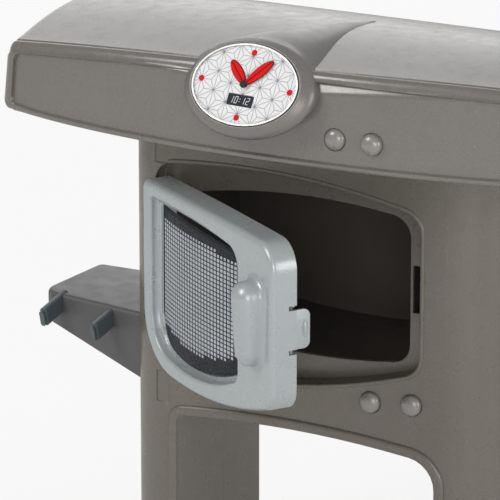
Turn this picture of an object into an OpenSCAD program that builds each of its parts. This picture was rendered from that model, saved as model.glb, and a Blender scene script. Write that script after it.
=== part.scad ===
// Toy oven: a moulded column with a deep cavity, a side-hung door with a curved window,
// a wide hood with an oval clock, four push buttons and a side arm with two hooks.
// Millimetres, +Z up. The origin is the middle of the base. The column front plane faces -Y.

/* [Column] */
// Width of the oven column
col_w = 294; // [290:1:300]
// Depth of the oven column
col_d = 130; // [128:1:145]
// Height of the column up to the panel under the hood
col_h = 366; // [362:1:375]
// Radius of the front corners of the column
col_r = 40; // [38:1:41]
// Radius of the rear corners of the column
col_rear_r = 12; // [6:1:20]
// Wall thickness of the column shells
wall = 3; // [2.4:0.2:3.4]
// Depth of the seam between front and rear shell, from the front plane
seam_y = 70; // [50:1:90]
// Height of the foot caps
foot_h = 6; // [4:1:12]
// Width of the open shelf space in the lower half
shelf_w = 202; // [180:2:206]
// Height of the open shelf space
shelf_h = 156.6; // [140:0.2:158]
// Width of the rolled lip round the shelf space
lip_w = 6.5; // [3:0.5:8]

/* [Recess and cavity] */
// Left edge of the recess that the door closes into
recess_left = -118.5; // [-119:0.5:-118]
// Right edge of the recess
recess_right = 88.5; // [86:0.5:92]
// Distance from the top of the column down to the top of the recess
recess_drop = 23.7; // [18:0.1:28]
// Bottom of the recess
recess_bottom = 187.2; // [183:0.1:188]
// Depth of the recess, from the front plane to the ledge
recess_d = 16; // [16:0.5:18]
// Gap between the back of the cavity liner and the rear wall
cavity_gap = 10; // [8:1:48]
// Wall thickness of the cavity liner
liner_t = 2; // [1.6:0.2:2]

/* [Door] */
// Opening angle at rest
door_open = 34.8; // [20:0.2:38]
// Depth of the door leaf
door_d = 20; // [18:0.5:22]
// Wall thickness of the door shell
door_t = 2.6; // [2:0.2:3]
// Clearance between the closed door and the ledge
door_gap = 0.5; // [0.4:0.1:1]
// Height of each hinge knuckle
knuckle_h = 14; // [10:1:20]
// Radius of the hinge pin
pin_r = 2; // [1.5:0.1:2.2]
// Width of the handle
handle_w = 20; // [16:1:22]
// Height of the handle
handle_h = 58; // [44:1:60]
// How far the handle stands out of the door
handle_out = 16; // [12:1:20]
// Height of the latch tab
tab_h = 26; // [18:1:28]
// Length of the latch tab behind the door
tab_l = 11; // [8:0.5:12]
// Sag of the curved window pane
pane_sag = 6; // [4:0.5:7]
// Thickness of the window pane
pane_t = 1.6; // [1.2:0.1:2]

/* [Hood] */
// Half width of the hood
hood_half = 229; // [215:1:240]
// How far the middle of the hood stands in front of the column
hood_out = 50; // [40:1:60]
// How far the hood stands behind the column
hood_over = 5; // [4:1:16]
// Height of the fascia in the middle
fascia_h = 66.2; // [60:0.2:70]
// Radius of the bow of the fascia, seen from above
bow_r = 850; // [700:10:1200]
// Depth of the panel set into the fascia
inlay_d = 2.5; // [1:0.5:3]
// Rise of the hood top above its front edge
crown = 8; // [4:1:12]

/* [Clock] */
// Half width of the oval dial
dial_a = 42; // [38:0.2:43]
// Half height of the oval dial
dial_b = 29.2; // [27:0.2:30]
// Backward tilt of the dial
dial_tilt = 30; // [20:1:40]
// Length of the hour hand
hour_l = 21.6; // [16:0.5:24]
// Length of the minute hand
minute_l = 25.5; // [18:0.5:26]
// Radius of the pin that carries the hands
hand_pin_r = 1.5; // [1:0.1:2]

/* [Buttons] */
// Radius of each push button
button_r = 7.6; // [6:0.2:8]
// Height of the button dome
button_dome = 5.5; // [4:0.5:6]
// Travel of each button
button_travel = 2.5; // [2:0.5:3]

/* [Side arm] */
// Length of the arm, from the column side
arm_l = 90; // [80:1:100]
// Depth of the arm
arm_d = 86; // [70:1:90]
// Height of the arm top
arm_top = 213; // [205:1:220]
// Height of the arm at the column
arm_h = 49.5; // [44:0.5:58]
// Height of the arm at its free end
arm_end_h = 21; // [18:1:34]
// Length of each hook
hook_l = 25; // [18:1:30]

/* [Hidden] */

// Colours
dark_grey = "#6a655d";
light_grey = "#b4b2ae";
door_grey = "#a4abac";
slate = "#555f62";
steel = "#c0c2c4";

// Clearances
fit = 0.3;      // between pieces that seat in each other
slide = 0.08;   // radial clearance of a running pin

// Outline vectors: [left, right, top, bottom, top bow, top middle, bottom bow, bottom middle,
// radius at the top left, top right, bottom right, bottom left corner]
recess_top = col_h - recess_drop;
cavity_d = col_d - 2 * wall - recess_d - cavity_gap;
recess = [recess_left, recess_right, recess_top, recess_bottom, 0.0009, -48, 0.0012, -58, 16, 16, 16, 38];
shelf = [-shelf_w / 2, shelf_w / 2, shelf_h, -20, 0.0006, -20, 0, 0, 5, 22, 1, 1];
slot_w = 6;
tab_clear = 0.8;
door_left = recess_left + 6.5;
door_right = recess_right - 9.5;
door = [door_left, door_right, recess_top - 12.3, recess_bottom + 4.1, 0.0004, 0, 0.0015, -46, 7, 20, 15, 44];
mouth = [recess_left + 9, door_right - door_t - tab_clear - liner_t, recess_top - 18,
    recess_bottom + 21, 0.0011, -5, 0.0011, 0, 14, 16, 14, 22];
window = [door_left + 13, door_right - 49.5, recess_top - 24.5, recess_bottom + 15.8,
    0.0006, -70, 0.0033, -44, 4, 14, 10, 30];
edge_steps = 10;
corner_steps = 6;

// Door planes while closed, and the hinge axis
door_rear = recess_d - door_gap;
door_front = door_rear - door_d;
hinge_x = recess_left - 8.5;
hinge_y = 11;
knuckle_r = pin_r + 2.2;
knuckle_z = [recess_bottom + 31.8, recess_top - 55.3];
notch_gap = 0.8;
post_w = 13;
post_z = [recess_bottom + 8.8, recess_top - 17.3];
handle_x = door_right - 21.5;
handle_z = recess_top - 68.8;
tab_z = recess_top - 74.7;
tab_bump = 1.4;
window_step = 2.6;

// Button places in the panel and in the fascia
panel_buttons = [[51, recess_bottom - 1.2], [82.5, recess_bottom + 1.4]];
hood_buttons = [[44, col_h + 21.2], [71, col_h + 20.8]];
panel_face = 0;
hood_face = -hood_out + 6;
flange_w = 1.6;
flange_t = 1.6;
cup_d = 12;
cup_t = 1.2;
boss_rear = 9;

// Hood
hood_lean = 6;
hood_splay = 0.0002;
hood_low = col_h;
hood_back = col_d + hood_over;
end_round = 8;
bead_h = 9;
base_t = 3;
hood_wall = 3;

// Clock
dial_place = [-20.8, -hood_out - 2, hood_low + fascia_h - 12.8];
dial_yaw = 5.8;
tail_tip = [10.5, hood_back - 45, hood_low + fascia_h + 2.8];
pod_rim = 2.6;
dial_t = 2;
dial_drop = 1;

front_y = -col_d / 2;

// ---------- helpers ----------

module placed() translate([0, front_y, 0]) children();

// Extrudes an upright outline from depth y0 to depth y1
module plate(y0, y1) translate([0, y1, 0]) rotate([90, 0, 0]) linear_extrude(y1 - y0) children();

// A cylinder along Y from depth y0 to depth y1
module rod_y(x, z, r, y0, y1, n = 48)
    translate([x, y1, z]) rotate([90, 0, 0]) cylinder(r = r, h = y1 - y0, $fn = n);

module block(x0, x1, y0, y1, z0, z1)
    translate([x0, y0, z0]) cube([x1 - x0, y1 - y0, z1 - z0]);

function arc(cx, cz, r, a0, a1, n) =
    [for (i = [0:n]) let(a = a0 + (a1 - a0) * i / n) [cx + r * cos(a), cz + r * sin(a)]];

function oval(a, b, n = 64) = [for (i = [0:n - 1]) [a * cos(360 * i / n), b * sin(360 * i / n)]];

function top_edge(p, x) = p[2] - p[4] * pow(x - p[5], 2);

function bottom_edge(p, x) = p[3] + p[6] * pow(x - p[7], 2);

function grown(p, g) = [p[0] - g, p[1] + g, p[2] + g, p[3] - g, p[4], p[5], p[6], p[7],
    max(p[8] + g, 0.5), max(p[9] + g, 0.5), max(p[10] + g, 0.5), max(p[11] + g, 0.5)];

// Fillet of an outline: corner 0 is top left, 1 top right, 2 bottom right, 3 bottom left
function corner(p, k) =
    let(r = p[8 + k], right = (k == 1 || k == 2), top = k < 2, v = top ? 1 : -1,
        cx = right ? p[1] - r : p[0] + r,
        m = top ? -2 * p[4] * (cx - p[5]) : 2 * p[6] * (cx - p[7]),
        cz = (top ? top_edge(p, cx) : bottom_edge(p, cx)) - v * r * sqrt(1 + m * m),
        a_edge = 90 * v + atan(m),
        a_side = right ? 0 : 180 * v)
    (k == 0 || k == 2) ? arc(cx, cz, r, a_side, a_edge, corner_steps)
        : arc(cx, cz, r, a_edge, a_side, corner_steps);

function outline(p, g = 0) =
    let(q = grown(p, g), tl = q[0] + q[8], tr = q[1] - q[9], bl = q[0] + q[11], br = q[1] - q[10])
    concat(corner(q, 0),
        [for (i = [1:edge_steps - 1]) let(x = tl + (tr - tl) * i / edge_steps) [x, top_edge(q, x)]],
        corner(q, 1), corner(q, 2),
        [for (i = [1:edge_steps - 1]) let(x = br + (bl - br) * i / edge_steps) [x, bottom_edge(q, x)]],
        corner(q, 3));

// A ring between two offsets of an outline
module ring(p, outer, inner, y0, y1)
    difference() {
        plate(y0, y1) polygon(outline(p, outer));
        plate(y0 - 1, y1 + 1) polygon(outline(p, inner));
    }

// Skin over a list of rings that all have the same number of points
module loft(rings) {
    n = len(rings[0]);
    k = len(rings);
    polyhedron(
        points = [for (ring = rings) each ring],
        faces = concat(
            [[for (i = [0:n - 1]) n - 1 - i]],
            [for (j = [0:k - 2], i = [0:n - 1]) each [
                [j * n + i, j * n + (i + 1) % n, (j + 1) * n + (i + 1) % n],
                [j * n + i, (j + 1) * n + (i + 1) % n, (j + 1) * n + i]]],
            [[for (i = [0:n - 1]) (k - 1) * n + i]]),
        convexity = 8);
}

// A countersunk screw along Z: head at the bottom, shank upwards
module screw(r, l, head_r, head_h) {
    cylinder(r = head_r, h = head_h, $fn = 32);
    cylinder(r = r, h = l, $fn = 24);
}

// ---------- column ----------

// Plan of the front half of the column, extruded
module front_block(inset, y1, z0, z1)
    translate([0, 0, z0]) linear_extrude(z1 - z0) {
        translate([-col_w / 2 + inset, col_r]) square([col_w - 2 * inset, y1 - col_r]);
        translate([-col_w / 2 + col_r, inset]) square([col_w - 2 * col_r, y1 - inset]);
        intersection() {
            for (s = [-1, 1])
                translate([s * (col_w / 2 - col_r), col_r]) circle(r = col_r - inset, $fn = 96);
            translate([-col_w, 0]) square([2 * col_w, col_r]);
        }
    }

// Plan of the rear half of the column, extruded
module rear_block(inset, y0, z0, z1)
    translate([0, 0, z0]) linear_extrude(z1 - z0) {
        translate([-col_w / 2 + inset, y0]) square([col_w - 2 * inset, col_d - col_rear_r - y0]);
        translate([-col_w / 2 + col_rear_r, y0]) square([col_w - 2 * col_rear_r, col_d - inset - y0]);
        for (s = [-1, 1])
            translate([s * (col_w / 2 - col_rear_r), col_d - col_rear_r])
                circle(r = col_rear_r - inset, $fn = 64);
    }

shell_boss_r = 4.5;
shell_boss_x = col_w / 2 - wall - shell_boss_r + 1;
shell_boss_z = [30, shelf_h + 13.4, col_h - 21];
shell_screw_r = 1.5;
boss_l = 22;

module shell_boss_places()
    for (s = [-1, 1], z = shell_boss_z) translate([s * shell_boss_x, 0, z]) children();

module latch_slot(grow, y0, y1)
    block(door_right - door_t - tab_clear - grow, door_right - door_t - tab_clear + slot_w + grow, y0, y1,
        tab_z - tab_h / 2 - 4.4 - grow, tab_z + tab_h / 2 + 4.4 + grow);

module hinge_notches()
    for (z = knuckle_z)
        block(hinge_x - knuckle_r - notch_gap, recess_left + 1, -5, hinge_y + knuckle_r + notch_gap,
            z - notch_gap, z + knuckle_h + notch_gap);

// Shallow strip down the left front corner, beside the recess
module corner_strip(z0, z1)
    intersection() {
        difference() {
            block(-col_w / 2, 0, -1, col_r, z0, z1);
            front_block(0.6, seam_y, z0 - 1, z1 + 1);
        }
        block(recess_left, recess_left + 11, -1, col_r, z0, z1);
    }

module column_front() color(dark_grey) placed()
    difference() {
        union() {
            difference() {
                front_block(0, seam_y, foot_h, col_h);
                front_block(wall, seam_y + 1, foot_h - 1, col_h - wall);
            }
            intersection() {
                front_block(0, seam_y, foot_h, col_h);
                union() {
                    ring(recess, wall, 0, -1, recess_d + wall);
                    plate(recess_d, recess_d + wall) polygon(outline(recess, wall));
                    ring(shelf, wall, 0, -1, seam_y);
                    block(hinge_x - post_w + 4, recess_left + 1, 0, recess_d + wall, post_z[0], post_z[1]);
                }
            }
            intersection() {
                ring(recess, 2.4, 0, -0.9, wall / 2);
                block(-col_w / 2 + col_r, col_w / 2, -2, wall, 0, col_h);
            }
            intersection() {
                union() {
                    ring(shelf, lip_w, 0, -1.2, wall / 2);
                    ring(shelf, lip_w / 2, 0, -2, wall / 2);
                }
                block(-col_w / 2 + col_r, col_w / 2 - col_r, -3, wall, foot_h, col_h);
            }
            intersection() {
                shell_boss_places()
                    rod_y(0, 0, shell_boss_r, seam_y - boss_l, seam_y);
                front_block(0, seam_y, foot_h, col_h);
            }
        }
        plate(-5, recess_d) polygon(outline(recess));
        plate(-5, recess_d + wall + 1) polygon(outline(mouth));
        plate(-5, seam_y + 1) polygon(outline(shelf));
        latch_slot(0, recess_d - 1, recess_d + wall + 1);
        hinge_notches();
        corner_strip(shelf_h + 3.4, recess_bottom - 4);
        corner_strip(recess_top - 4, col_h + 1);
        translate([hinge_x, hinge_y, post_z[0] + 4]) cylinder(r = pin_r + slide / 2, h = post_z[1], $fn = 32);
        for (b = panel_buttons) rod_y(b[0], b[1], button_r + fit, -5, wall + 1);
        shell_boss_places() rod_y(0, 0, shell_screw_r + slide / 2, seam_y - boss_l + 2, seam_y + 1, 24);
        top_screw_places() cylinder(r = top_screw_r + slide / 2, h = 3 * wall, center = true, $fn = 24);
    }

module column_rear() color(dark_grey) placed()
    difference() {
        union() {
            difference() {
                rear_block(0, seam_y, foot_h, col_h);
                rear_block(wall, seam_y - 1, foot_h - 1, col_h - wall);
            }
            intersection() {
                rear_block(0, seam_y, foot_h, col_h);
                union() {
                    ring(shelf, wall, 0, seam_y, col_d + 1);
                    shell_boss_places() rod_y(0, 0, shell_boss_r, seam_y, col_d);
                }
            }
        }
        plate(seam_y - 1, col_d + 1) polygon(outline(shelf));
        shell_boss_places() rod_y(0, 0, shell_screw_r + 2 * slide, seam_y - 1, col_d + 1, 24);
        shell_boss_places() rod_y(0, 0, 3.2, col_d - 8, col_d + 1, 32);
        top_screw_places() cylinder(r = top_screw_r + slide / 2, h = 3 * wall, center = true, $fn = 24);
    }

module cavity_liner() color("#57524b") placed() {
    y0 = recess_d + wall;
    difference() {
        plate(y0, y0 + cavity_d) polygon(outline(mouth, liner_t));
        plate(y0 - 1, y0 + cavity_d - liner_t) polygon(outline(mouth, 0));
    }
    for (s = [-1, 1])
        block(-6 + s * 55, 6 + s * 55, y0, y0 + 30,
            top_edge(mouth, s * 55) + liner_t - 1, top_edge(mouth, s * 55) + liner_t + 5);
}

// Spring clip behind the ledge that the latch tab snaps into
module latch_catch() color(slate) placed() {
    x0 = door_right + tab_bump + fit + 1.2;
    y0 = recess_d + wall;
    difference() {
        union() {
            block(x0, x0 + 1.6, y0, y0 + tab_l + 4, tab_z - tab_h / 2, tab_z + tab_h / 2);
            translate([x0 + 0.2, y0 + tab_l - 1, tab_z - tab_h / 2]) cylinder(r = 1.3, h = tab_h, $fn = 24);
        }
        block(x0 + 1.6, x0 + 9, y0 - 1, y0 + tab_l + 6, tab_z - tab_h, tab_z + tab_h);
    }
    block(x0, x0 + 7, y0, y0 + 1.6, tab_z - tab_h / 2, tab_z + tab_h / 2);
}

// Cap that closes the foot of one pillar
module foot(s) placed() {
    x0 = shelf_w / 2;
    difference() {
        intersection() {
            union() {
                front_block(0, col_d - col_r, 0, foot_h);
                rear_block(0, col_r, 0, foot_h);
            }
            block(x0, col_w, -1, col_d + 1, 0, foot_h);
        }
        translate([0, 0, -1]) block(x0 + wall, col_w / 2 - wall, col_r, col_d - col_rear_r, 0, 2.5);
    }
    intersection() {
        union() {
            front_block(wall + fit, col_d - col_r, foot_h, foot_h + 8);
            rear_block(wall + fit, col_r, foot_h, foot_h + 8);
        }
        block(x0 + wall + fit, col_w, -1, col_d + 1, foot_h, foot_h + 8);
    }
}

module right_foot() color("#3c3a37") foot(1);

module left_foot() color("#3c3a37") mirror([1, 0, 0]) foot(1);

// ---------- hood ----------

function bow(x) = bow_r - sqrt(bow_r * bow_r - x * x);

function fascia_y(x) = -hood_out + bow(x);

function hood_bottom(x) = hood_low + 3 * pow(x / hood_half, 6);

// The front top edge falls towards both ends, more to the left
function hood_edge(x) = hood_low + fascia_h
    - (x < 90 ? 17 * pow((90 - x) / (90 + hood_half), 2.6) : 6 * pow((x - 90) / (hood_half - 90), 2.2));

// Inset of the section near the ends, which rounds the end edges
function end_inset(x) =
    let(over = abs(x) - (hood_half - end_round))
    over <= 0 ? 0 : end_round - sqrt(max(0, end_round * end_round - over * over));

// Section of the hood at x, from the rear foot forwards, up the fascia and back over the top
function hood_section(x, grow = 0) =
    let(e = end_inset(x) - grow, yf = fascia_y(x) + e, zb = hood_bottom(x) + e, zt = hood_edge(x) - e,
        d = abs(x) > hood_half - 9 ? 0 : inlay_d, yt = yf + hood_lean, yr = hood_back - e,
        zr = hood_low + fascia_h - 3 - 5 * pow(x / hood_half, 4) - e,
        rise = crown * (1 - pow(x / hood_half, 2) * 0.3), h = bead_h + 2 * grow)
    concat(
        [[yr, zb], [yf + 4, zb], [yf + 1.2, zb + 0.8], [yf, zb + 3], [yf + 0.1, zb + 4.5],
            [yf + d + 0.2, zb + 5.2], [yf + d + (yt - yf) / 2, (zb + zt) / 2],
            [yt + d - 0.6, zt - h - 0.8], [yt - 0.8, zt - h]],
        [for (a = [160:-20:100]) [yt + h * (0.75 + 0.85 * cos(a)), zt - h * (1 - sin(a))]],
        [[yt + bead_h * 0.9, zt - 0.2], [yt + bead_h, zt - 1], [yt + bead_h + 1.2, zt + 0.3]],
        [for (t = [0.15, 0.3, 0.45, 0.6, 0.75, 0.9])
            [yt + bead_h + 1.2 + t * (yr - yt - bead_h - 14), zt + (zr - zt) * t + rise * sin(180 * t)]],
        [for (a = [80:-20:0]) [yr - 12 + 12 * cos(a), zr - 12 + 12 * sin(a)]]);

// Inside of the hood, a plain section a wall thickness smaller, open below
function hood_hollow(x) =
    let(yf = fascia_y(x) + hood_wall + inlay_d, zt = hood_edge(x) - hood_wall,
        yr = hood_back - hood_wall, zr = hood_low + fascia_h - 9 - 5 * pow(x / hood_half, 4))
    [[yr, hood_low - 2], [yf + 0.5, hood_low - 2], [yf + 1, hood_low + 9],
        [yf + hood_lean, zt - bead_h], [yf + hood_lean + 3, zt - 3], [yf + hood_lean + 16, zt - 1.5],
        [hood_back / 2, zt + 1], [hood_back - 24, zr + 1], [yr - 7, zr - 3], [yr, zr - 12]];

hood_steps = [for (t = [0:0.1:0.8]) t, 0.87, 0.93];
hood_half_stations = concat([for (t = hood_steps) t * hood_half],
    [hood_half - 10, hood_half - 8.8, hood_half - 6, hood_half - 3, hood_half - 1, hood_half]);
hood_stations = concat([for (i = [len(hood_half_stations) - 1:-1:1]) -hood_half_stations[i]],
    hood_half_stations);
hollow_stations = [for (t = [-1:0.125:1]) t * (hood_half - hood_wall - 1)];

// Ends lean inwards as they rise
function upright(section, x) = [for (p = section) [x * (1 - hood_splay * (p[1] - hood_low)), p[0], p[1]]];

module hood_solid() loft([for (x = hood_stations) upright(hood_section(x), x)]);

top_screw_r = 1.8;
top_screw_xy = [for (s = [-1, 1], y = [24, col_d - 22]) [s * (col_w / 2 - 57), y]];
base_screw_xy = [for (s = [-1, 1], y = [30, col_d - 22]) [s * (hood_half - 34), y]];

module top_screw_places()
    for (p = top_screw_xy) translate([p[0], p[1], col_h]) children();

module base_screw_places()
    for (p = base_screw_xy) translate([p[0], p[1], col_h]) children();

module hood_shell() color(dark_grey) placed()
    difference() {
        union() {
            difference() {
                hood_solid();
                loft([for (x = hollow_stations) upright(hood_hollow(x), x)]);
            }
            intersection() {
                hood_solid();
                union() {
                    for (b = hood_buttons) rod_y(b[0], b[1], button_r + 3.4, -60, hood_face + boss_rear);
                    base_screw_places() translate([0, 0, base_t]) cylinder(r = 4.5, h = 80, $fn = 24);
                }
            }
        }
        for (b = hood_buttons) rod_y(b[0], b[1], button_r + fit, -60, hood_face + boss_rear + 1);
        base_screw_places() cylinder(r = top_screw_r + slide / 2, h = base_t + 14, $fn = 24);
        pod_socket();
    }

// Panel that closes the underside of the hood and rests on the column
module hood_base() color("#5f5a53") placed() {
    half = hood_half - hood_wall - 1 - 2 * fit;
    front = [for (t = [-1:0.1:1]) [t * half, fascia_y(t * half) + hood_wall + inlay_d + 1.4]];
    difference() {
        translate([0, 0, col_h]) linear_extrude(base_t)
            polygon(concat(front, [for (s = [1, -1]) [s * half, hood_back - hood_wall - fit]]));
        top_screw_places() cylinder(r = top_screw_r + 2 * slide, h = 3 * base_t, center = true, $fn = 24);
        base_screw_places() cylinder(r = top_screw_r + 2 * slide, h = 3 * base_t, center = true, $fn = 24);
    }
}

// ---------- clock ----------

// Frame of the dial: x to the right, y up along the dial, z out of it
module on_dial() translate(dial_place) rotate([90 - dial_tilt, 0, -dial_yaw]) children();

// A point of an oval ring: centre, half axes, tilt of its plane and angle
function ring_point(c, a, b, tilt, yaw, u) =
    let(x = a * cos(u), y = b * sin(u), h = y * sin(tilt), z = y * cos(tilt))
    [c[0] + x * cos(yaw) + h * sin(yaw), c[1] - x * sin(yaw) + h * cos(yaw), c[2] + z];

function oval_ring(c, a, b, tilt, yaw, n = 40) =
    [for (i = [0:n - 1]) ring_point(c, a, b, tilt, yaw, 360 * i / n)];

// Place at a depth behind the dial, along its normal
function behind(depth) =
    dial_place + depth * [sin(dial_yaw) * cos(dial_tilt), cos(dial_yaw) * cos(dial_tilt), -sin(dial_tilt)];

module pod_solid() {
    tail_start = behind(9);
    tail_a = dial_a + 9.9;
    tail_b = dial_b + 6.8;
    head = [[0, pod_rim - 0.8], [0.8, pod_rim + 0.6], [3, pod_rim + 4.2], [5.5, pod_rim + 6.2]];
    loft(concat(
        [for (h = head)
            oval_ring(behind(h[0]), dial_a + h[1], dial_b + h[1] * 0.7, dial_tilt, dial_yaw)],
        [for (t = [0, 0.12, 0.25, 0.4, 0.55, 0.7, 0.82, 0.91, 0.97, 0.995])
            let(c = tail_start + t * (tail_tip - tail_start), k = pow(1 - t, 0.92))
            oval_ring(c, tail_a * k, tail_b * k, dial_tilt * max(0, 1 - 2.2 * t),
                dial_yaw * (1 - t))]));
}

pod_socket_a = dial_a - 8;
pod_socket_b = dial_b - 9;
pod_stations = [for (x = hood_stations) if (abs(x - dial_place[0]) < 100) x];

// Hole in the hood front that the neck of the pod plugs into, and room behind the dial
module pod_socket() on_dial() {
    translate([0, 0, -70]) linear_extrude(65) polygon(oval(pod_socket_a + fit, pod_socket_b + fit));
    translate([0, 0, -dial_drop - dial_t - fit]) linear_extrude(20)
        polygon(oval(dial_a + fit, dial_b + fit));
}

module clock_pod() color("#8f8b85") placed()
    difference() {
        union() {
            difference() {
                pod_solid();
                loft([for (x = pod_stations) upright(hood_section(x, fit), x)]);
            }
            on_dial() translate([0, 0, -46]) linear_extrude(40) polygon(oval(pod_socket_a, pod_socket_b));
        }
        on_dial() translate([0, 0, -dial_drop - dial_t]) linear_extrude(10)
            polygon(oval(dial_a + fit, dial_b + fit));
        on_dial() translate([0, 0, -20]) cylinder(r = hand_pin_r + slide / 2, h = 20, $fn = 32);
        on_dial() translate([0, 0, -60]) linear_extrude(36) polygon(oval(pod_socket_a - 3, pod_socket_b - 3));
    }

module clock_dial() color("white") placed() on_dial()
    difference() {
        translate([0, 0, -dial_drop - dial_t]) linear_extrude(dial_t)
            polygon(oval(dial_a - 0.2, dial_b - 0.2));
        translate([0, 0, -10]) cylinder(r = hand_pin_r + slide, h = 20, $fn = 32);
        translate([display_x, display_y, -dial_drop - 0.8]) linear_extrude(5)
            square([display_w + 0.4, display_h + 0.4], center = true);
        for (m = marks) translate([m[0], m[1], -dial_drop - 0.8])
            cylinder(r = mark_r + 0.15, h = 3, $fn = 24);
    }

// Thin bright ring that holds the dial
module clock_bezel() color("#d8d8d6") placed() on_dial()
    translate([0, 0, -dial_drop]) linear_extrude(dial_drop + 0.6) difference() {
        polygon(oval(dial_a - 0.2, dial_b - 0.2));
        polygon(oval(dial_a - 1.4, dial_b - 1.4));
    }

mark_r = 2.1;
inset_t = 0.9;
mark_a = 35.5;
mark_b = 23.2;
marks = [[mark_a, 0], [-mark_a, 0], [0, mark_b], [0, -mark_b]];
display_w = 20.2;
display_h = 8;
display_x = -0.8;
display_y = -11;

module dial_markers() color("#e2241f") placed() on_dial()
    for (m = marks) translate([m[0], m[1], -dial_drop - 0.8]) cylinder(r = mark_r, h = inset_t, $fn = 32);

module clock_display() color("#3a3f42") placed() on_dial()
    translate([display_x, display_y, -dial_drop - 0.8]) linear_extrude(inset_t)
        polygon(oval_box(display_w / 2, display_h / 2, 1.2));

// Corners of a rounded box
function oval_box(a, b, r) = concat(arc(a - r, b - r, r, 0, 90, 4), arc(r - a, b - r, r, 90, 180, 4),
    arc(r - a, r - b, r, 180, 270, 4), arc(a - r, r - b, r, 270, 360, 4));

// Petal outline of a hand that points along +y from the pin
function petal(l, w) = concat(
    [for (t = [0:0.1:1]) [w * sin(180 * pow(t, 0.85)) * (0.72 - 0.22 * t) + 0.35 * (1 - t), t * l]],
    [for (t = [1:-0.1:0]) [-w * sin(180 * pow(t, 0.85)) * (0.72 - 0.22 * t) - 0.35 * (1 - t), t * l]]);

hub_r = 3;
hand_t = 1;
hour_angle = 44.8;
minute_angle = -42.7;

module hand(l, z, angle) on_dial() rotate([0, 0, angle])
    translate([0, 0, z]) linear_extrude(hand_t) difference() {
        union() {
            polygon(petal(l, 5));
            circle(r = hub_r, $fn = 40);
        }
        circle(r = hand_pin_r + slide, $fn = 40);
    }

module hour_hand() color("#e2241f") placed() hand(hour_l, -dial_drop + fit, hour_angle);

module minute_hand() color("#e2241f") placed() hand(minute_l, -dial_drop + hand_t + 2 * fit, minute_angle);

module hand_pin() color("#3e4244") placed() on_dial() {
    cap_z = -dial_drop + 2 * hand_t + 3 * fit;
    translate([0, 0, -19]) cylinder(r = hand_pin_r, h = 19 + cap_z + 0.1, $fn = 40);
    translate([0, 0, cap_z]) rotate_extrude($fn = 48)
        polygon([[0, 0], [2.7, 0], [2.6, 0.5], [2, 1], [0, 1.2]]);
}

// ---------- buttons ----------

// Push button along Y: dome in front of its face, skirt through the wall, flange behind it
module button(x, z, face, back) {
    translate([x, face, z]) rotate([90, 0, 0]) rotate_extrude($fn = 64)
        polygon(concat([[0, -back - flange_t - 0.4], [button_r + flange_w, -back - flange_t - 0.4],
            [button_r + flange_w, -back - 0.4], [button_r, -back - 0.4], [button_r, button_travel - 1.5]],
            [for (a = [0:15:90]) [button_r * cos(a), button_travel - 1.5 + (button_dome - 1) * sin(a)]]));
}

module button_hood_left() color(light_grey) placed()
    button(hood_buttons[0][0], hood_buttons[0][1], hood_face, boss_rear);

module button_hood_right() color(light_grey) placed()
    button(hood_buttons[1][0], hood_buttons[1][1], hood_face, boss_rear);

module button_panel_left() color("#8d8983") placed()
    button(panel_buttons[0][0], panel_buttons[0][1], panel_face, wall);

module button_panel_right() color("#8d8983") placed()
    button(panel_buttons[1][0], panel_buttons[1][1], panel_face, wall);

// Cup behind a button that guides its flange and carries its spring
module cup(x, z, y) {
    difference() {
        rod_y(x, z, button_r + flange_w + fit + cup_t, y, y + cup_d);
        rod_y(x, z, button_r + flange_w + fit, y - 1, y + cup_d - cup_t);
    }
}

module button_cups() color("#4a4744") placed() {
    for (b = panel_buttons) cup(b[0], b[1], panel_face + wall);
    for (b = hood_buttons) cup(b[0], b[1], hood_face + boss_rear);
}

spring_r = 4.2;
spring_wire = 0.5;
spring_turns = 3.5;
spring_l = cup_d - cup_t - flange_t - 0.4 - 2 * spring_wire - 0.4;

// Coil spring along Y
module coil(x, y, z) {
    steps = 10;
    n = spring_turns * steps;
    loft([for (i = [0:n]) let(a = 360 * i / steps) [for (j = [0:5])
        [x + (spring_r + spring_wire * cos(60 * j)) * cos(a),
            y + spring_wire + spring_l * i / n + spring_wire * sin(60 * j),
            z + (spring_r + spring_wire * cos(60 * j)) * sin(a)]]]);
}

module button_springs() color(steel) placed() {
    front = flange_t + 0.6;
    for (b = panel_buttons) coil(b[0], panel_face + wall + front, b[1]);
    for (b = hood_buttons) coil(b[0], hood_face + boss_rear + front, b[1]);
}

// ---------- door ----------

// Swings what is drawn for the closed door to its resting angle
module swung() translate([hinge_x, hinge_y, 0]) rotate([0, 0, -door_open])
    translate([-hinge_x, -hinge_y, 0]) children();

liner_plate = 2.2;
door_boss_r = 3.4;
door_screw_r = 1.2;
door_screws_xz = [[door_left + 8, recess_top - 22], [door_right - 9, recess_top - 27],
    [door_right - 9, recess_bottom + 45.8], [door_left + 17.4, recess_bottom + 22.5]];

module door_boss_places()
    for (p = door_screws_xz) translate([p[0], 0, p[1]]) children();

// Height of the handle above the door, on a section from side to side
module handle_block(grow)
    hull() {
        for (z = [-1, 1])
            translate([handle_x, door_front - handle_out + handle_w / 2 + 1,
                handle_z + z * (handle_h - handle_w) / 2])
                sphere(r = handle_w / 2 - 0.6 + grow + (z > 0 ? 0.6 : 0), $fn = 28);
        for (z = [-1, 1])
            translate([handle_x, door_front + 1, handle_z + z * (handle_h - handle_w) / 2]) rotate([90, 0, 0])
                cylinder(r = handle_w / 2 + grow, h = 3, $fn = 28);
    }

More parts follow.
